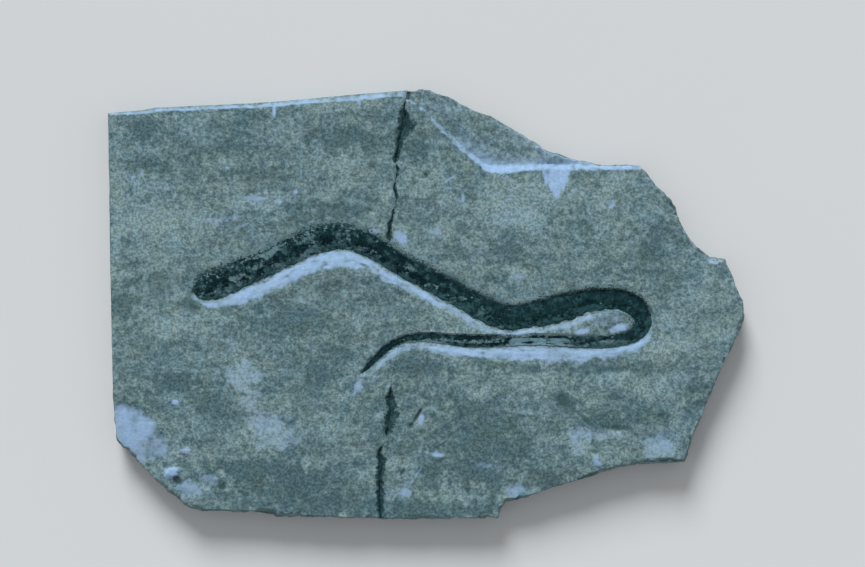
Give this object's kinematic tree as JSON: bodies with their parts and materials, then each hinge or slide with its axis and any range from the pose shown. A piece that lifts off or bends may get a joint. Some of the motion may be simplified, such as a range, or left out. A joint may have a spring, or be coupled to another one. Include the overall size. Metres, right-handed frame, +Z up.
{
  "type": "fossil snake slab",
  "caption": "Flat broken slab of pale limestone, rejoined across a dark break, with a long thin dark fossil snake lying in a shallow trench",
  "frame": {"origin": "on the underside, below the middle of the slab", "axes": "+X along the slab's length towards the loop of the snake, +Y across it towards the spalled edge, +Z up out of the fossil face"},
  "size_m": [0.5, 0.339, 0.024],
  "materials": {
    "limestone": "fine-grained, mottled grey-green limestone with pale chipped edges",
    "fossil": "granular green-black mineralised bone and skin, slightly satin"
  },
  "bodies": {
    "root": {"slab_left": "limestone", "slab_right": "limestone", "snake_head_end": "fossil", "snake_middle": "fossil", "snake_tail_tip": "fossil"}
  },
  "joints": []
}
